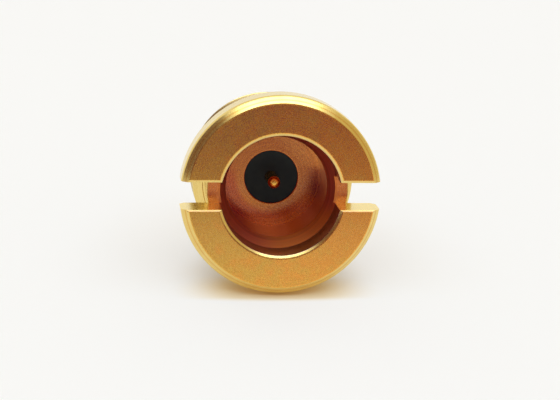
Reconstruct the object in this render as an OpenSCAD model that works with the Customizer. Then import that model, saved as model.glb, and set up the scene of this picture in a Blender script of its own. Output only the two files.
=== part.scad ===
// Hermetic coaxial connector: a turned, plated body with a slotted flange, a plain neck,
// a short thread and a stepped socket, closed by a fused glass seal that holds one contact.
// Millimetres. The axis lies along Y, the mouth faces -Y, the slot runs along X, Z is up.
// The origin is on the axis where the thread begins.

/* [Flange] */
// Outside diameter of the slotted flange
flange_d = 6; // [5.8:0.05:7]
// Thickness of the flange along the axis
flange_t = 1.1; // [0.9:0.05:1.3]
// Bevel around the front face
front_bevel = 0.2; // [0.1:0.01:0.3]
// Bevel around the back of the flange
back_bevel = 0.15; // [0.05:0.01:0.25]

/* [Driving slot] */
// Width of the slot cut across the flange
slot_w = 0.83; // [0.6:0.01:1]
// Width of the edge break along the slot's upper front edges
upper_break = 0.08; // [0.03:0.005:0.12]
// Width of the edge break along the slot's lower front edges
lower_break = 0.045; // [0.03:0.005:0.12]
// Depth of these edge breaks
break_depth = 0.045; // [0.03:0.005:0.08]

/* [Socket] */
// Diameter of the entry just inside the mouth
entry_d = 3.6; // [3.4:0.05:3.8]
// Depth of the entry from the front face
entry_depth = 1; // [0.8:0.05:1.2]
// Width of the bevel around the mouth
mouth_bevel = 0.09; // [0.05:0.01:0.12]
// Depth of the bevel around the mouth
mouth_bevel_depth = 0.065; // [0.05:0.005:0.12]
// Diameter of the mating bore
bore_d = 3.1; // [3:0.02:3.2]
// Length of the tapered lead from the entry to the bore
lead_l = 0.46; // [0.3:0.02:0.6]
// Depth of the socket floor from the front face
socket_depth = 3; // [2.8:0.05:3.2]

/* [Neck and thread] */
// Diameter of the plain neck behind the flange
neck_d = 4.28; // [4.2:0.02:4.4]
// Length from the flange to the thread, with the bevel that rises from the neck to the thread
neck_l = 1.4; // [1.2:0.05:1.6]
// Outside diameter of the thread
thread_d = 4.95; // [4.8:0.05:5.4]
// Length of the threaded barrel with its end bevel
thread_l = 2.2; // [1.8:0.05:3]
// Bevel at the end of the thread
thread_bevel = 0.25; // [0.1:0.05:0.4]

/* [Glass seal] */
// Diameter of the glass and of the hole it is fused into
glass_d = 1.7; // [1.4:0.02:2]
// How far the glass lies below the socket floor and below the back face
glass_recess = 0.07; // [0.05:0.01:0.12]
// Edge break where the hole for the glass meets the socket floor
hole_break = 0.03; // [0.02:0.005:0.04]

/* [Contact] */
// Diameter of the contact
contact_d = 0.38; // [0.3:0.01:0.5]
// How far the contact stands out of the glass in the socket
contact_reach = 1.07; // [0.8:0.01:1.3]
// How far the contact stands out behind the body
tail_l = 1.8; // [1:0.1:4]
// Bevel at the end of the tail
tail_bevel = 0.05; // [0.03:0.01:0.08]

/* [Hidden] */
$fn = 96;
// room by which a cutter passes the faces it cuts
over = 1;
// places along the axis, with the start of the thread at zero
front_y = -(flange_t + neck_l);
flange_back_y = -neck_l;
entry_y = front_y + entry_depth;
bore_y = entry_y + lead_l;
floor_y = front_y + socket_depth;
glass_front_y = floor_y + glass_recess;
glass_back_y = thread_l - glass_recess;
dome_y = glass_front_y - contact_reach + contact_d / 2;
tail_y = thread_l + tail_l;
// radii
flange_r = flange_d / 2;
entry_r = entry_d / 2;
bore_r = bore_d / 2;
neck_r = neck_d / 2;
thread_r = thread_d / 2;
glass_r = glass_d / 2;
contact_r = contact_d / 2;
slot_r = slot_w / 2;
// where the neck ends and the bevel up to the thread begins, at 45 degrees
rise_y = neck_r - thread_r;

// stands a profile of radius and place up along Y
module turned() {
    rotate([-90, 0, 0])
    rotate_extrude()
    children();
}

// the body's half section, from the mouth round the outside to the back and through the socket
module body_profile() {
    polygon([
        [entry_r + mouth_bevel, front_y],
        [flange_r - front_bevel, front_y],
        [flange_r, front_y + front_bevel],
        [flange_r, flange_back_y - back_bevel],
        [flange_r - back_bevel, flange_back_y],
        [neck_r, flange_back_y],
        [neck_r, rise_y],
        [thread_r, 0],
        [thread_r, thread_l - thread_bevel],
        [thread_r - thread_bevel, thread_l],
        [glass_r, thread_l],
        [glass_r, floor_y + hole_break],
        [glass_r + hole_break, floor_y],
        [bore_r, floor_y],
        [bore_r, bore_y],
        [entry_r, entry_y],
        [entry_r, front_y + mouth_bevel_depth]
    ]);
}

// the slot's section across X: a channel through the flange that opens out at its front edges
module slot_cut() {
    translate([-flange_d, 0, 0])
    rotate([90, 0, 90])
    linear_extrude(height = 2 * flange_d)
    polygon([
        [flange_back_y, -slot_r],
        [front_y + break_depth, -slot_r],
        [front_y, -slot_r - lower_break],
        [front_y - over, -slot_r - lower_break],
        [front_y - over, slot_r + upper_break],
        [front_y, slot_r + upper_break],
        [front_y + break_depth, slot_r],
        [flange_back_y, slot_r]
    ]);
}

// one turned and plated piece: flange, slot, neck, threaded barrel and socket
module body() {
    color([0.83, 0.62, 0.28])
    difference() {
        turned() body_profile();
        slot_cut();
    }
}

// glass fused to the hole in the body and to the contact, so both faces meet with no gap
module glass_seal() {
    color([0.04, 0.04, 0.04])
    turned()
    polygon([
        [contact_r, glass_front_y],
        [glass_r, glass_front_y],
        [glass_r, glass_back_y],
        [contact_r, glass_back_y]
    ]);
}

// one straight pin with a domed front end and a bevelled tail
module contact() {
    color([0.85, 0.64, 0.3])
    union() {
        turned()
        polygon([
            [0, dome_y],
            [contact_r, dome_y],
            [contact_r, glass_front_y],
            [contact_r, glass_back_y],
            [contact_r, tail_y - tail_bevel],
            [contact_r - tail_bevel, tail_y],
            [0, tail_y]
        ]);
        translate([0, dome_y, 0])
        sphere(r = contact_r);
    }
}

body();
glass_seal();
contact();
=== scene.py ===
import math

import bmesh
import bpy
from mathutils import Matrix, Vector


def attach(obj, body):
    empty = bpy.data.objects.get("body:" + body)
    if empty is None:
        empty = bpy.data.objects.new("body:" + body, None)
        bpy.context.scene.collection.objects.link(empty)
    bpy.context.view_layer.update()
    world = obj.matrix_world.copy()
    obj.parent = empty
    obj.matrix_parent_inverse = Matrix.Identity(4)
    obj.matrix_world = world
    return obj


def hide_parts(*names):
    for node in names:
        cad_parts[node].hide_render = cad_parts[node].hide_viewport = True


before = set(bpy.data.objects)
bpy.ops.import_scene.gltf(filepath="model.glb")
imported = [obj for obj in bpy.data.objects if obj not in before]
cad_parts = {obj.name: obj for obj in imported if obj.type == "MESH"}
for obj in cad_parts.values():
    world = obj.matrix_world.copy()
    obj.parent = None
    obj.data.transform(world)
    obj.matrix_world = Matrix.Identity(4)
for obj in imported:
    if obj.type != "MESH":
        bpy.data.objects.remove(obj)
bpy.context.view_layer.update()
scene = bpy.context.scene
scene.view_settings.view_transform = "Standard"
mm = 0.001  # pieces are drawn in millimetres and scaled to metres at the end
mergeReach, cutReach, nearReach = 0.0002, 0.00005, 0.0005  # doubles, cuts, points in one plane
print("frame loaded:", sorted(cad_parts))


# shader sums

class Val:
    def __init__(self, tree, socket=None):
        self.tree = tree
        self.socket = socket

    def node(self, kind, settings=None, sockets=None, out=0):
        made = self.tree.nodes.new(kind)
        for key, value in (settings or {}).items():
            setattr(made, key, value)
        for key, value in (sockets or {}).items():
            if isinstance(value, Val):
                self.tree.links.new(value.socket, made.inputs[key])
            else:
                made.inputs[key].default_value = value
        return Val(self.tree, made.outputs[out] if len(made.outputs) else None)

    def calc(self, operation, first, second=0.0):
        return self.node("ShaderNodeMath", {"operation": operation}, {0: first, 1: second})

    def __add__(self, other):
        return self.calc("ADD", self, other)

    def __radd__(self, other):
        return self.calc("ADD", other, self)

    def __sub__(self, other):
        return self.calc("SUBTRACT", self, other)

    def __rsub__(self, other):
        return self.calc("SUBTRACT", other, self)

    def __mul__(self, other):
        return self.calc("MULTIPLY", self, other)

    def __rmul__(self, other):
        return self.calc("MULTIPLY", other, self)

    def __pow__(self, other):
        return self.calc("POWER", self, other)

    def between(self, low, high):  # 0 below low, 1 above high
        return self.node("ShaderNodeMapRange", {"clamp": True, "interpolation_type": "SMOOTHSTEP"},
                         {"Value": self, "From Min": low, "From Max": high})

    def past(self, place, fade):  # 0 before a border, 1 past it, fading over twice this width
        return self.between(place - fade, place + fade)


ringLean = 1.37  # keeps the turned rings of one radius apart by their place along the axis
bumpDistance = 0.00001


def newMaterial(name):
    material = bpy.data.materials.new(name)
    material.use_nodes = True
    material.node_tree.nodes.clear()
    return material, Val(material.node_tree)


def mixColours(start, share, first, second, blend="MIX"):
    return start.node("ShaderNodeMix", {"data_type": "RGBA", "blend_type": blend},
                      {0: share, 6: first, 7: second}, out=2)


def noise(start, spot, perMetre, detail, roughness):
    return start.node("ShaderNodeTexNoise", None,
                      {"Vector": spot, "Scale": perMetre, "Detail": detail, "Roughness": roughness})


def ringNoise(start, rings, perMm, detail, roughness):
    return start.node("ShaderNodeTexNoise", {"noise_dimensions": "1D"},
                      {"W": rings * perMm, "Scale": 1.0, "Detail": detail, "Roughness": roughness})


def bumped(start, strength, height):
    return start.node("ShaderNodeBump", None,
                      {"Strength": strength, "Distance": bumpDistance, "Height": height})


def axisPlaces(start):
    # object coordinates, then each of them in millimetres and the distance from the axis
    spot = start.node("ShaderNodeTexCoord", out="Object")
    x, y, z = (start.node("ShaderNodeSeparateXYZ", None, {0: spot}, out=axis) * (1 / mm) for axis in "XYZ")
    radius = (x * x + z * z) ** 0.5
    return spot, x, y, z, radius


# gold over a turned surface

goldLook = {
    "colour": (0.84, 0.62, 0.19, 1), "deepColour": (0.81, 0.57, 0.16, 1),
    # the face's colours and the socket's colours below (entry, lead, bore, hole and socket floor) are painted:
    # deeper and redder for the dark the face reflects and for shade and bounced light inside the socket
    "faceColour": (0.955, 0.425, 0.053, 1), "faceDeepColour": (0.83, 0.480, 0.066, 1),
    "slotColour": (0.98, 0.70, 0.13, 1), "ledgeColour": (1.0, 0.37, 0.075, 1),
    "entryColour": (0.49, 0.20, 0.27, 1), "entryDarkColour": (0.28, 0.15, 0.24, 1),
    "leadColour": (1.0, 0.375, 0.100, 1), "leadDeepColour": (0.86, 0.230, 0.140, 1),
    "boreColour": (0.56, 0.105, 0.048, 1), "holeColour": (0.75, 0.10, 0.04, 1),
    "socketFloorColour": (0.82, 0.315, 0.055, 1), "socketFloorDeepColour": (0.79, 0.200, 0.048, 1),
    "socketFloorPaleColour": (1.0, 0.45, 0.085, 1), "socketFloorPaintedDarkTint": (0.62, 0.50, 0.72, 1),
    "socketFloorLowTint": (1.0, 0.93, 0.50, 1),
    # the lower edge tint is painted shade that dims the highlight on the slot's lower edge breaks
    "threadColour": (0.66, 0.49, 0.20, 1), "lowerEdgeShadeTint": (0.80, 0.74, 0.90, 1),
    # the line tint is a painted split in the front bevel's highlight
    "ringTint": (0.70, 0.62, 0.56, 1), "highlightSplitTint": (0.90, 0.72, 0.48, 1),
    "mottleTint": (0.90, 0.82, 0.70, 1), "edgeTint": (0.98, 0.96, 0.72, 1),
    "film": 0.7, "filmRoughness": 0.12,  # clear film that keeps the gold bright, white at glancing angles
    "roughness": 0.24, "faceRoughness": 0.272, "slotRoughness": 0.28, "lowerEdgeRoughness": 0.56,
    "socketRoughness": 0.32, "leadRoughness": 0.50, "socketFloorRoughness": 0.28,
    "mottleGloss": 0.16, "cloudGloss": 0.05, "turningGloss": 0.10,
    "turningDepth": 0.10, "socketTurningDepth": 0.45, "grainDepth": 0.24, "bump": 0.12,
    # patterns: rings for each millimetre or spots for each metre, detail, roughness
    "turning": (42.0, 2.0, 0.6), "wideRings": (13.0, 3.0, 0.65),
    "grain": (30000.0, 2.0, 0.6), "mottle": (16000.0, 3.0, 0.7),
    "cloud": (3000.0, 3.0, 0.55), "patches": (2800.0, 3.0, 0.6),
    "cloudSpan": (0.3, 0.7), "ringSpan": (0.40, 0.62), "ringShare": 0.45, "mottleSpan": (0.42, 0.60),
    "faceSpan": (0.36, 0.64), "facePatchShare": 0.6, "faceDrift": 0.045,
    # painted reflections and shade on the socket's floor, entry and lead, in millimetres across and up
    "paintedShadeShare": 0.5, "paintedShadeRing": (0.96, 1.22), "paintedShadeLean": 0.4, "paintedShadeSpan": (-0.7, 0.2),
    "paleAcross": 0.65, "paleUp": 0.7, "paleSpan": (0.75, 1.2), "lowTintUp": (-0.75, -0.35),
    "paintedDarkAcross": (1.1, 1.4), "paintedDarkFrom": (-0.75, -0.40), "paintedDarkTo": (0.15, 0.45),
    "entryAcross": (-0.7, 0.1), "entryUp": (-1.45, -1.0),
    "leadAcross": (-1.0, 0.4), "leadUp": (-1.0, -0.3),
}


def goldBorders(s):
    # where one finish meets the next: place and half the width of the fade, in millimetres
    return {
        "faceBack": (s["front"] + 0.007, 0.005),
        "ledgeFront": (s["flangeBack"] - 0.0035, 0.0015),
        "ledgeBack": (s["flangeBack"] + 0.0035, 0.0015),
        "ledgeOuter": (s["neck"] - 0.025, 0.015),
        "slotSide": (s["slotHalf"] + 0.0025, 0.0015),
        "socketOuter": (s["mouth"] + 0.01, 0.03),
        "socketBack": (s["floor"] + 0.15, 0.05),
        "leadFront": (s["mouthEnd"], 0.005),
        "boreFront": (s["boreStart"], 0.005),
        "floorFront": (s["floor"] - 0.025, 0.015),
        "holeOuter": (s["glassHole"] + 0.02, 0.01),
        "threadFront": (0.4, 0.2),
        "threadInner": (s["neck"] - 0.01, 0.03),
        "breakBack": (s["front"] + s["breakDepth"] - 0.002, 0.005),
        "breakLow": (-s["slotHalf"] - s["lowerBreak"] - 0.01, 0.005),
        "breakHigh": (-s["slotHalf"] + 0.01, 0.005),
        "lineInner": (s["flange"] - 0.145, 0.01),
        "lineOuter": (s["flange"] - 0.11, 0.01),
        "lineFront": (s["front"] + 0.04, 0.01),
        "lineBack": (s["front"] + 0.15, 0.01),
    }


def goldPlating(look, s):
    material, start = newMaterial("gold_plating")
    spot, x, y, z, radius = axisPlaces(start)
    rings = radius + y * ringLean  # one value along each turned ring
    turning, wideRings = (ringNoise(start, rings, *look[name]) for name in ("turning", "wideRings"))
    grain, mottle, cloud, patches = (noise(start, spot, *look[name])
                                     for name in ("grain", "mottle", "cloud", "patches"))
    # the slot's floor is deeper in colour than the bright bevels; the satin face and the socket are painted
    # deeper and redder, a painted reflection of the dark in front of the face and painted shade and bounced
    # light inside the socket
    border = goldBorders(s)
    face = 1 - y.past(*border["faceBack"])
    inFlange = 1 - y.past(*border["ledgeBack"])
    ledge = inFlange * y.past(*border["ledgeFront"]) * (1 - radius.past(*border["ledgeOuter"]))
    slot = inFlange * (1 - start.calc("ABSOLUTE", z).past(*border["slotSide"]))
    socket = (1 - radius.past(*border["socketOuter"])) * (1 - y.past(*border["socketBack"]))
    lead = socket * y.past(*border["leadFront"])
    bore = socket * y.past(*border["boreFront"])
    socketFloor = socket * y.past(*border["floorFront"])
    hole = socketFloor * (1 - radius.past(*border["holeOuter"]))
    thread = y.past(*border["threadFront"]) * radius.past(*border["threadInner"])
    lowerEdge = z.past(*border["breakLow"]) * (1 - z.past(*border["breakHigh"]))
    lowerEdge = lowerEdge * (1 - y.past(*border["breakBack"])) * (1 - slot)
    # a thin ring on the front bevel, painted darker to split the bevel's highlight in two
    highlightSplit = radius.past(*border["lineInner"]) * (1 - radius.past(*border["lineOuter"]))
    highlightSplit = highlightSplit * y.past(*border["lineFront"]) * (1 - y.past(*border["lineBack"])) * (1 - slot)

    # the face drifts from yellow at the left to red at the right
    drift = (patches - 0.5) * look["facePatchShare"] + 0.5 - x * look["faceDrift"]
    faceTone = mixColours(start, drift.between(*look["faceSpan"]), look["faceColour"], look["faceDeepColour"])
    # painted reflection and shade on the socket's floor: redder and darker low down near the wall, paler at the
    # upper right, and a painted dark spot at the far right
    paintedShade = (patches - 0.5) * look["paintedShadeShare"]
    low = 1 - (z + x * look["paintedShadeLean"] + paintedShade).between(*look["paintedShadeSpan"])
    high = (x * look["paleAcross"] + z * look["paleUp"] + paintedShade).between(*look["paleSpan"])
    paintedDark = x.between(*look["paintedDarkAcross"]) * z.between(*look["paintedDarkFrom"]) * (1 - z.between(*look["paintedDarkTo"]))
    below = 1 - z.between(*look["lowTintUp"])
    floorTone = mixColours(start, radius.between(*look["paintedShadeRing"]) * low, look["socketFloorColour"],
                           look["socketFloorDeepColour"])
    floorTone = mixColours(start, high, floorTone, look["socketFloorPaleColour"])
    floorTone = mixColours(start, paintedDark, floorTone, look["socketFloorPaintedDarkTint"], "MULTIPLY")
    floorTone = mixColours(start, below, floorTone, look["socketFloorLowTint"], "MULTIPLY")
    # painted shade and reflection: towards the lower right the entry is darker and the lead is brighter
    entryDark = x.between(*look["entryAcross"]) * (1 - z.between(*look["entryUp"]))
    leadBright = x.between(*look["leadAcross"]) * (1 - z.between(*look["leadUp"]))
    entryTone = mixColours(start, entryDark, look["entryColour"], look["entryDarkColour"])
    leadTone = mixColours(start, leadBright, look["leadDeepColour"], look["leadColour"])

    colour = mixColours(start, cloud.between(*look["cloudSpan"]), look["colour"], look["deepColour"])
    for share, tone in ((face, faceTone), (slot, look["slotColour"]), (socket, entryTone), (lead, leadTone),
                        (bore, look["boreColour"]), (socketFloor, floorTone), (hole, look["holeColour"]),
                        (ledge, look["ledgeColour"]), (thread, look["threadColour"])):
        colour = mixColours(start, share, colour, tone)
    ringShade = socket * wideRings.between(*look["ringSpan"]) * look["ringShare"]
    satin = start.calc("MAXIMUM", face, ledge) * mottle.between(*look["mottleSpan"])
    # the lower edges' tint is painted shade on their highlight
    for share, tint in ((ringShade, "ringTint"), (satin, "mottleTint"), (lowerEdge, "lowerEdgeShadeTint"),
                        (highlightSplit, "highlightSplitTint")):
        colour = mixColours(start, share, colour, look[tint], "MULTIPLY")

    plain, inside = look["roughness"], look["socketRoughness"]
    roughness = plain
    for share, change in ((socket, inside - plain),
                          (face * (1 - socket), look["faceRoughness"] - plain),
                          (lead * (1 - bore), look["leadRoughness"] - inside),
                          (socketFloor, look["socketFloorRoughness"] - inside),
                          (slot * (1 - socket), look["slotRoughness"] - plain),
                          (lowerEdge, look["lowerEdgeRoughness"] - plain),
                          (mottle - 0.5, look["mottleGloss"]),
                          (cloud - 0.5, look["cloudGloss"]),
                          (turning - 0.5, look["turningGloss"])):
        roughness = roughness + share * change
    depth = look["turningDepth"] + socket * (look["socketTurningDepth"] - look["turningDepth"])
    height = turning * depth + grain * look["grainDepth"]
    gold = start.node("ShaderNodeBsdfPrincipled", None,
                      {"Base Color": colour, "Metallic": 1.0, "Roughness": roughness,
                       "Specular Tint": look["edgeTint"], "Normal": bumped(start, look["bump"], height),
                       "Coat Weight": look["film"], "Coat Roughness": look["filmRoughness"]})
    start.node("ShaderNodeOutputMaterial", None, {"Surface": gold})
    return material


pinLook = {
    "colour": (1.0, 0.58, 0.10, 1), "deepColour": (0.96, 0.50, 0.08, 1),
    "turning": (60.0, 2.0, 0.6), "cloud": (5000.0, 2.0, 0.5), "cloudSpan": (0.35, 0.7),
    "roughness": 0.22, "turningGloss": 0.08, "bump": 0.08,
}


def contactGold(look):
    material, start = newMaterial("contact_gold")
    spot, _, y, _, radius = axisPlaces(start)
    turning = ringNoise(start, radius + y * ringLean, *look["turning"])
    cloud = noise(start, spot, *look["cloud"])
    colour = mixColours(start, cloud.between(*look["cloudSpan"]), look["colour"], look["deepColour"])
    gold = start.node("ShaderNodeBsdfPrincipled", None,
                      {"Base Color": colour, "Metallic": 1.0,
                       "Roughness": look["roughness"] + turning * look["turningGloss"],
                       "Normal": bumped(start, look["bump"], turning)})
    start.node("ShaderNodeOutputMaterial", None, {"Surface": gold})
    return material


glassLook = {
    "colour": (0.0205, 0.0320, 0.0310, 1), "deepColour": (0.0255, 0.0380, 0.0350, 1),
    "cloud": (4000.0, 3.0, 0.5), "cloudSpan": (0.4, 0.7),
    "bubblesPerMetre": 16000.0, "bubbleSpan": (0.0, 0.25), "bubbleDepth": 0.4, "bump": 0.1,
    "roughness": 0.35, "cloudGloss": 0.15, "refraction": 1.5, "gloss": 0.15,
}


def blackGlass(look):
    material, start = newMaterial("black_glass")
    spot = start.node("ShaderNodeTexCoord", out="Object")
    cloud = noise(start, spot, *look["cloud"])
    bubbles = start.node("ShaderNodeTexVoronoi", None, {"Vector": spot, "Scale": look["bubblesPerMetre"]})
    colour = mixColours(start, cloud.between(*look["cloudSpan"]), look["colour"], look["deepColour"])
    height = cloud + bubbles.between(*look["bubbleSpan"]) * look["bubbleDepth"]
    glass = start.node("ShaderNodeBsdfPrincipled", None,
                       {"Base Color": colour, "IOR": look["refraction"], "Specular IOR Level": look["gloss"],
                        "Roughness": look["roughness"] + (cloud - 0.5) * look["cloudGloss"],
                        "Normal": bumped(start, look["bump"], height)})
    start.node("ShaderNodeOutputMaterial", None, {"Surface": glass})
    return material


# turned pieces

def drawLine(bm, points, closed=False):
    # radius and place along the axis become a line of edges
    verts = [bm.verts.new((radius, place, 0)) for radius, place in points]
    ends = verts[1:] + verts[:1] if closed else verts[1:]
    for pair in zip(verts, ends):
        bm.edges.new(pair)
    return verts


def roundCorners(bm, corners, size, segments=4):
    held, shortest = size * 1.25, size * 3
    for corner in corners:  # a held loop keeps a wide face flat up to its rounding
        for edge in list(corner.link_edges):
            if edge.calc_length() > shortest:
                bmesh.utils.edge_split(edge, corner, held / edge.calc_length())
    bmesh.ops.bevel(bm, geom=corners, offset=size, offset_type="OFFSET", segments=segments, profile=0.5,
                    affect="VERTICES", material=-1, clamp_overlap=True)


def turn(bm, steps):
    bmesh.ops.spin(bm, geom=bm.verts[:] + bm.edges[:], cent=(0, 0, 0), axis=(0, 1, 0), dvec=(0, 0, 0),
                   angle=math.tau, steps=steps, use_merge=True)
    bmesh.ops.remove_doubles(bm, verts=bm.verts[:], dist=mergeReach)


def finishPiece(bm, name, node, material, sharpAngle=26):
    bmesh.ops.remove_doubles(bm, verts=bm.verts[:], dist=mergeReach)
    bmesh.ops.recalc_face_normals(bm, faces=bm.faces[:])
    bmesh.ops.scale(bm, vec=(mm, mm, mm), verts=bm.verts[:])
    for face in bm.faces:
        face.smooth = True
    mesh = bpy.data.meshes.new(name)
    bm.to_mesh(mesh)
    openEdges = sum(1 for edge in bm.edges if not edge.is_manifold)
    bm.free()
    mesh.set_sharp_from_angle(angle=math.radians(sharpAngle))
    piece = bpy.data.objects.new(name, mesh)
    scene.collection.objects.link(piece)
    mesh.materials.append(material)
    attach(piece, "root")
    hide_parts(node)
    print(name, "faces", len(mesh.polygons), "open edges", openEdges)
    return piece


# body: flange with driving slot, neck, threaded barrel and stepped socket

bodyShape = {
    "steps": 240,
    "front": -2.5, "flangeBack": -1.4, "floor": 0.5, "back": 2.2,
    "flange": 3.0, "frontBevel": 0.22, "frontRound": 0.06, "backBevel": 0.15,
    "mouth": 1.8, "mouthBevel": 0.09, "mouthBevelDepth": 0.065, "mouthEnd": -1.5,
    "bore": 1.55, "boreStart": -1.04, "glassHole": 0.83,
    "neck": 2.14, "thread": 2.475, "threadStart": -0.27, "threadEndBevel": 0.25, "threadStartAngle": 200,
    "pitch": 0.5, "threadDepth": 0.27, "flankAngle": 30, "flankCuts": 5, "threadRound": 0.016,
    "runOut": 0.005,  # how far below the thread's root its ends may be trimmed
    "frontSeam": 0.02, "backSeam": 0.12, "seamRing": (1.9, 2.6),  # where the thread joins the turned skin
    "slotHalf": 0.415, "upperBreak": 0.08, "lowerBreak": 0.045, "breakDepth": 0.045,
    "edgeRound": 0.022, "holeRound": 0.03,
}


def turnedSkin(bm, s):
    # everything but the thread, from the neck's back corner over the flange and through the socket
    slope = (s["mouth"] - s["bore"]) / (s["boreStart"] - s["mouthEnd"])
    ledge = s["mouth"] - slope * (s["flangeBack"] - s["mouthEnd"])  # the slot's floor meets the taper here
    rise = s["thread"] + s["threadStart"] - s["frontSeam"]
    points = {
        "frontSeam": (rise, s["threadStart"]),
        "neckBack": (s["neck"], s["threadStart"] - (rise - s["neck"])),
        "neckFront": (s["neck"], s["flangeBack"]),
        "backBevelInner": (s["flange"] - s["backBevel"], s["flangeBack"]),
        "backBevelOuter": (s["flange"], s["flangeBack"] - s["backBevel"]),
        "frontBevelOuter": (s["flange"], s["front"] + s["frontBevel"]),
        "frontBevelInner": (s["flange"] - s["frontBevel"], s["front"]),
        "mouthBevelOuter": (s["mouth"] + s["mouthBevel"], s["front"]),
        "mouthBevelInner": (s["mouth"], s["front"] + s["mouthBevelDepth"]),
        "mouthEnd": (s["mouth"], s["mouthEnd"]),
        "ledge": (ledge, s["flangeBack"]),
        "boreStart": (s["bore"], s["boreStart"]),
        "boreEnd": (s["bore"], s["floor"]),
        "holeFront": (s["glassHole"], s["floor"]),
        "holeBack": (s["glassHole"], s["back"]),
        "backSeam": (s["thread"] - s["threadEndBevel"] - s["backSeam"], s["back"]),
    }
    corners = dict(zip(points, drawLine(bm, points.values())))
    roundCorners(bm, [corners[name] for name in ("backBevelInner", "backBevelOuter", "frontBevelInner",
                                                 "mouthBevelOuter", "mouthBevelInner", "holeBack")],
                 s["edgeRound"])
    roundCorners(bm, [corners["frontBevelOuter"]], s["frontRound"], 6)
    roundCorners(bm, [corners["holeFront"]], s["holeRound"], 5)
    turn(bm, s["steps"])


def threadSkin(bm, s):
    # a zigzag line turned once while it climbs one pitch, then trimmed to the barrel
    pitch, crest, root = s["pitch"], s["thread"], s["thread"] - s["threadDepth"]
    flat, flank = pitch / 8, s["threadDepth"] * math.tan(math.radians(s["flankAngle"]))
    dip = pitch - flat - 2 * flank
    points = []
    for i in range(-3, math.ceil(s["back"] / pitch) + 2):  # spare turns at both ends are cut off below
        y = i * pitch
        points += [(root, y), (root, y + dip), (crest, y + dip + flank), (crest, y + dip + flank + flat)]
    verts = drawLine(bm, points)
    roundCorners(bm, verts[1:-1], s["threadRound"], 2)
    flanks = [e for e in bm.edges if abs(e.verts[0].co.x - e.verts[1].co.x) > s["threadDepth"] / 2]
    bmesh.ops.subdivide_edges(bm, edges=flanks, cuts=s["flankCuts"])
    bmesh.ops.rotate(bm, cent=(0, 0, 0), verts=bm.verts[:],
                     matrix=Matrix.Rotation(math.radians(s["threadStartAngle"]), 3, "Y"))
    bmesh.ops.spin(bm, geom=bm.verts[:] + bm.edges[:], cent=(0, 0, 0), axis=(0, 1, 0),
                   dvec=(0, pitch / s["steps"], 0), angle=math.tau, steps=s["steps"])
    bmesh.ops.remove_doubles(bm, verts=bm.verts[:], dist=nearReach)
    for vert in bm.verts:  # bevels at both ends run the ridge out
        radius = math.hypot(vert.co.x, vert.co.z)
        limit = min(crest + vert.co.y, crest + s["back"] - s["threadEndBevel"] - vert.co.y)
        limit = max(limit, root - s["runOut"])
        if radius > limit:
            vert.co.x *= limit / radius
            vert.co.z *= limit / radius
    for place, side in ((s["threadStart"], -1), (s["back"], 1)):
        bmesh.ops.bisect_plane(bm, geom=bm.verts[:] + bm.edges[:] + bm.faces[:], dist=cutReach,
                               plane_co=(0, place, 0), plane_no=(0, side, 0), clear_outer=True)


def ringEdges(bm, place, low, high):
    # open edges that lie in one plane across the axis, between two radii
    def fits(vert):
        return abs(vert.co.y - place) < nearReach and low < math.hypot(vert.co.x, vert.co.z) < high
    return [e for e in bm.edges if e.is_boundary and all(fits(v) for v in e.verts)]


def cutSlot(bm, s):
    h = s["slotHalf"]
    front, back = s["front"], s["flangeBack"]

    def flangeFaces():
        return [f for f in bm.faces if all(v.co.y < back + nearReach for v in f.verts)]

    def partsOf(faces):
        return list({v for f in faces for v in f.verts}) + list({e for f in faces for e in f.edges}) + faces

    for side in (1, -1):
        bmesh.ops.bisect_plane(bm, geom=partsOf(flangeFaces()), dist=cutReach, plane_co=(0, 0, side * h),
                               plane_no=(0, 0, 1))
    channel = [f for f in flangeFaces() if abs(f.calc_center_median().z) < h]
    bmesh.ops.delete(bm, geom=channel, context="FACES")
    for end in (1, -1):
        floorEdges = [e for e in bm.edges if e.is_boundary
                      and all(abs(v.co.y - back) < nearReach and v.co.x * end > 0
                              and abs(v.co.z) < h + nearReach for v in e.verts)
                      and abs((e.verts[0].co.z + e.verts[1].co.z) / 2) < h - cutReach]
        for side in (1, -1):
            wall = [e for e in bm.edges if e.is_boundary
                    and all(abs(v.co.z - side * h) < nearReach and v.co.x * end > 0 for v in e.verts)]
            # the wall's open line is closed along the slot's floor
            counts = {}
            for edge in wall:
                for vert in edge.verts:
                    counts[vert] = counts.get(vert, 0) + 1
            ends = [v for v, n in counts.items() if n == 1]
            closing = bm.edges.get(ends) or bm.edges.new(ends)
            bmesh.ops.contextual_create(bm, geom=wall + [closing])
            floorEdges.append(closing)
        bmesh.ops.contextual_create(bm, geom=floorEdges)
    # the front edges are broken
    for side, width in ((1, s["upperBreak"]), (-1, s["lowerBreak"])):
        for end in (1, -1):
            faces = [f for f in flangeFaces() if f.calc_center_median().z * side > 0
                     and f.calc_center_median().x * end > 0]
            cut = bmesh.ops.bisect_plane(bm, geom=partsOf(faces), dist=cutReach,
                                         plane_co=(0, front, side * (h + width)),
                                         plane_no=(0, -width, -side * s["breakDepth"]), clear_outer=True)
            rim = [e for e in cut["geom_cut"] if isinstance(e, bmesh.types.BMEdge) and e.is_boundary]
            bmesh.ops.contextual_create(bm, geom=rim)


def makeBody(s, material):
    bm = bmesh.new()
    turnedSkin(bm, s)
    cutSlot(bm, s)
    threadMesh = bpy.data.meshes.new("thread")
    threadBm = bmesh.new()
    threadSkin(threadBm, s)
    threadBm.to_mesh(threadMesh)
    threadBm.free()
    bm.from_mesh(threadMesh)
    bpy.data.meshes.remove(threadMesh)
    for place in (s["threadStart"], s["back"]):  # flat rings join the thread to the turned skin
        bmesh.ops.triangle_fill(bm, edges=ringEdges(bm, place, *s["seamRing"]), use_beauty=True,
                                normal=(0, 1, 0))
    return finishPiece(bm, "connector_body", "body", material)


makeBody(bodyShape, goldPlating(goldLook, bodyShape))


# glass seal, sunk a little between the body and the contact

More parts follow.
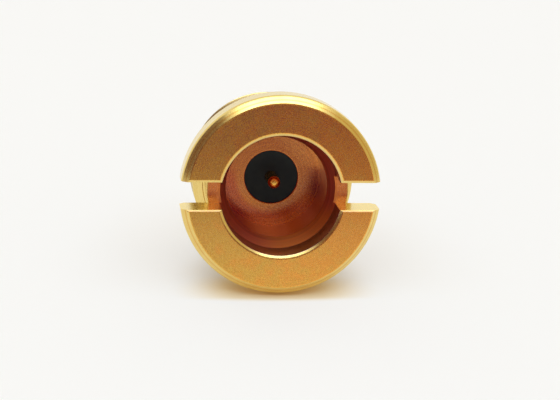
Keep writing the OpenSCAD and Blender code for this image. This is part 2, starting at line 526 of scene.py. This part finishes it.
sealShape = {
    "steps": 128, "outer": 0.83, "inner": 0.19, "front": 0.57, "back": 2.13,
    "sag": 0.015, "sagInner": 0.09, "sagOuter": 0.16, "sagRound": 0.06,
}


def makeSeal(s, material):
    bm = bmesh.new()
    nearPin, nearBody = s["inner"] + s["sagInner"], s["outer"] - s["sagOuter"]
    frontSag, backSag = s["front"] + s["sag"], s["back"] - s["sag"]
    points = [
        (s["inner"], s["front"]), (nearPin, frontSag), (nearBody, frontSag), (s["outer"], s["front"]),
        (s["outer"], s["back"]), (nearBody, backSag), (nearPin, backSag), (s["inner"], s["back"]),
    ]
    verts = drawLine(bm, points, closed=True)
    roundCorners(bm, [verts[i] for i in (1, 2, 5, 6)], s["sagRound"])
    turn(bm, s["steps"])
    return finishPiece(bm, "glass_bead", "glass_seal", material)


makeSeal(sealShape, blackGlass(glassLook))


# contact pin with a domed tip and a bevelled tail

pinShape = {
    "steps": 64, "radius": 0.19, "tip": -0.5, "tail": 4.0, "tailBevel": 0.05, "tailRound": 0.015,
    "domeShare": 0.985,  # of the radius
}


def makePin(s, material):
    bm = bmesh.new()
    points = [
        (0, s["tip"]), (s["radius"], s["tip"]), (s["radius"], s["tail"] - s["tailBevel"]),
        (s["radius"] - s["tailBevel"], s["tail"]), (0, s["tail"]),
    ]
    verts = drawLine(bm, points)
    roundCorners(bm, [verts[2], verts[3]], s["tailRound"], 2)
    dome = min((v for v in bm.verts if v.co.x > s["radius"] / 2), key=lambda v: v.co.y)
    roundCorners(bm, [dome], s["radius"] * s["domeShare"], 12)
    turn(bm, s["steps"])
    return finishPiece(bm, "contact_pin", "contact", material)


makePin(pinShape, contactGold(pinLook))


# floor, light and camera

stageLook = {
    # painted light and shadow: the paper is painted warmer and darker under the flange, for its shadow and the
    # light the gold bounces on it, and glows a little there with painted thrown light, no further than the
    # flange's face
    "floorColour": (0.93, 0.93, 0.932, 1), "glowColour": (0.91, 0.770, 0.530, 1), "glowReach": (1.4, 3.4),
    "thrownLight": (0.070, 0.042, 0.014, 1), "thrownReach": (0.5, 1.6), "noLight": (0, 0, 0, 1),
    "rimPlace": -1.9, "rimStretch": 2, "frontReach": (-2.75, -2.25), "frontStretch": 3.0,
    # the paper is painted whiter round the part, which lightens its shadow, and far off it is as white as the
    # room behind it
    "paperWhite": (0.95, 0.952, 0.948, 1), "whiteShare": 0.50, "whitePlace": -1.0, "whiteReach": (1.5, 3.4),
    "farReach": (40.0, 140.0),
    # the part lies on the flange and on the barrel's end, so the floor leans by their difference
    "floorTouch": (-1.55, -3.0), "floorTouchBack": (1.95, -2.475), "floorHalf": 0.6,
    "worldColour": (0.95, 0.952, 0.948, 1), "fillColour": (0.84, 0.7308, 0.5712, 1),
    # colour, size, place and power; the gold is lit by the first and the floor by the second
    "lamps": {
        "top_softbox": ((0.86, 0.95, 1.0), (1.12, 0.72), (0.06, -0.340, 1.0), 6.75),
        "cool_fill": ((0.48, 0.72, 1.0), (2.2, 1.2), (-0.05, -0.75, 1.0), 19.0),
    },
    "cardColours": {
        "violet": (0.115, 0.0, 0.21, 1), "umber": (0.22, 0.10, 0.07, 1), "brown": (0.18, 0.10, 0.10, 1),
        "straw": (0.66, 0.56, 0.34, 1), "white": (1.0, 0.95, 1.0, 1),
    },
    # cards that only reflections see: corner, the two sides that span it, colour
    "cards": {
        "front_card": ((-0.005, -0.04, -0.0090), (0.035, 0, 0), (0, 0, 0.0122), "violet"),
        "low_left_card": ((-0.03, -0.04, -0.0090), (0.025, 0, 0), (0, 0, 0.0108), "violet"),
        "high_left_card": ((-0.045, -0.041, 0.0030), (0.031, 0, 0), (0, 0, 0.036), "umber"),
        "high_middle_card": ((-0.014, -0.041, 0.0070), (0.013, 0, 0), (0, 0, 0.041), "umber"),
        "high_right_card": ((0.014, -0.041, 0.0030), (0.031, 0, 0), (0, 0, 0.045), "umber"),
        "high_card": ((-0.001, -0.041, 0.0150), (0.015, 0, 0), (0, 0, 0.033), "umber"),
        "crescent_card": ((-0.078, -0.112, 0.10), (0.031, 0, 0), (0, 0.066, 0), "white"),
        "left_card": ((-0.05, -0.06, 0.0), (0, 0.06, 0), (0, 0, 0.066), "brown"),
        "front_left_card": ((-0.10, -0.09, -0.010), (0.075, 0, 0), (0, 0, 0.120), "brown"),
        "right_card": ((0.05, -0.05, -0.0029), (0, 0.065, 0), (0, 0, 0.058), "straw"),
    },
}


def seenDirectly(start):
    # 1 for what the camera sees, also by way of metal and glass
    camera, glossy, through = (start.node("ShaderNodeLightPath", out=name)
                               for name in ("Is Camera Ray", "Is Glossy Ray", "Is Transmission Ray"))
    return (camera + glossy + through).between(0.0, 1.0)


def makeFloor(look):
    (touchY, touchZ), (backY, backZ) = look["floorTouch"], look["floorTouchBack"]
    lean = math.atan2(backZ - touchZ, backY - touchY)
    bm = bmesh.new()
    bmesh.ops.create_grid(bm, x_segments=1, y_segments=1, size=look["floorHalf"])
    bmesh.ops.rotate(bm, cent=(0, 0, 0), matrix=Matrix.Rotation(lean, 3, "X"), verts=bm.verts[:])
    bmesh.ops.translate(bm, vec=(0, touchY * mm, touchZ * mm), verts=bm.verts[:])
    mesh = bpy.data.meshes.new("floor")
    bm.to_mesh(mesh)
    bm.free()
    floor = bpy.data.objects.new("floor", mesh)
    scene.collection.objects.link(floor)
    material, start = newMaterial("pale_floor")
    _, x, y, _, _ = axisPlaces(start)
    ahead = 1 - y.between(*look["frontReach"])  # the painted warm patch ends below the front face
    squeeze = 1 + ahead * look["frontStretch"]
    away = (x * x + (y - look["whitePlace"]) ** 2 * squeeze) ** 0.5
    fromRim = (x * x + ((y - look["rimPlace"]) * look["rimStretch"]) ** 2 * squeeze) ** 0.5
    colour = mixColours(start, fromRim.between(*look["glowReach"]), look["glowColour"], look["floorColour"])
    thrown = mixColours(start, fromRim.between(*look["thrownReach"]), look["thrownLight"], look["noLight"])
    paper = start.node("ShaderNodeBsdfPrincipled", None,
                       {"Base Color": colour, "Roughness": 1.0, "Specular IOR Level": 0.0,
                        "Emission Color": thrown, "Emission Strength": 1.0})
    white = start.node("ShaderNodeEmission", None, {"Color": look["paperWhite"]})
    share = away.between(*look["whiteReach"]) * look["whiteShare"]
    share = seenDirectly(start) * (share + away.between(*look["farReach"]) * (1 - look["whiteShare"]))
    paper = start.node("ShaderNodeMixShader", None, {0: share, 1: paper, 2: white})
    clear = start.node("ShaderNodeBsdfTransparent")
    below = start.node("ShaderNodeNewGeometry", out="Backfacing")  # a view from below looks through the floor
    start.node("ShaderNodeOutputMaterial", None,
               {"Surface": start.node("ShaderNodeMixShader", None, {0: below, 1: paper, 2: clear})})
    mesh.materials.append(material)


def makeLight(look):
    world = bpy.data.worlds.new("room")
    scene.world = world
    world.use_nodes = True
    world.node_tree.nodes.clear()
    start = Val(world.node_tree)
    colour = mixColours(start, seenDirectly(start), look["fillColour"], look["worldColour"])
    sky = start.node("ShaderNodeBackground", None, {"Color": colour, "Strength": 1.0})
    start.node("ShaderNodeOutputWorld", None, {"Surface": sky})
    for name, (colour, size, place, power) in look["lamps"].items():
        lampData = bpy.data.lights.new(name, "AREA")
        lampData.shape, lampData.energy, lampData.color = "RECTANGLE", power, colour
        lampData.size, lampData.size_y = size
        lamp = bpy.data.objects.new(name, lampData)
        lamp.location = place
        lamp.visible_diffuse = name == "cool_fill"
        lamp.visible_glossy = name == "top_softbox"
        scene.collection.objects.link(lamp)


def makeCards(look):
    for name, (corner, across, upward, colourName) in look["cards"].items():
        bm = bmesh.new()
        first = bm.verts.new(corner)
        made = bmesh.ops.extrude_vert_indiv(bm, verts=[first])
        bmesh.ops.translate(bm, vec=across, verts=made["verts"])
        made = bmesh.ops.extrude_edge_only(bm, edges=bm.edges[:])
        raised = [v for v in made["geom"] if isinstance(v, bmesh.types.BMVert)]
        bmesh.ops.translate(bm, vec=upward, verts=raised)
        mesh = bpy.data.meshes.new(name)
        bm.to_mesh(mesh)
        bm.free()
        card = bpy.data.objects.new(name, mesh)
        scene.collection.objects.link(card)
        material, start = newMaterial(name)
        glow = start.node("ShaderNodeEmission", None, {"Color": look["cardColours"][colourName]})
        start.node("ShaderNodeOutputMaterial", None, {"Surface": glow})
        mesh.materials.append(material)
        card.visible_camera = card.visible_diffuse = card.visible_shadow = card.visible_transmission = False


# fitted to the round edges of the photograph, in degrees, metres and the lens's millimetres
cameraFit = {
    "target": (0, -0.0025, 0), "distance": 0.05017, "turn": -6.763, "rise": 11.789, "roll": 1.562,
    "lens": 109.34, "sensor": 36, "shift": (-0.0034, -0.0057), "clip": (0.002, 20),
}


def makeCamera(fit):
    turnAngle, rise, roll = (math.radians(fit[name]) for name in ("turn", "rise", "roll"))
    away = Vector((math.sin(turnAngle) * math.cos(rise), -math.cos(turnAngle) * math.cos(rise), math.sin(rise)))
    right = (-away).cross(Vector((0, 0, 1))).normalized()
    up = right.cross(-away)
    rolledRight = math.cos(roll) * right + math.sin(roll) * up
    rolledUp = math.cos(roll) * up - math.sin(roll) * right
    data = bpy.data.cameras.new("camera")
    data.lens, data.sensor_width = fit["lens"], fit["sensor"]
    data.shift_x, data.shift_y = fit["shift"]
    data.clip_start, data.clip_end = fit["clip"]
    camera = bpy.data.objects.new("camera", data)
    spot = Vector(fit["target"]) + away * fit["distance"]
    turned = Matrix((rolledRight, rolledUp, away)).transposed().to_4x4()
    camera.matrix_world = Matrix.Translation(spot) @ turned
    scene.collection.objects.link(camera)
    scene.camera = camera


makeFloor(stageLook)
makeLight(stageLook)
makeCards(stageLook)
makeCamera(cameraFit)
print("stage ready")
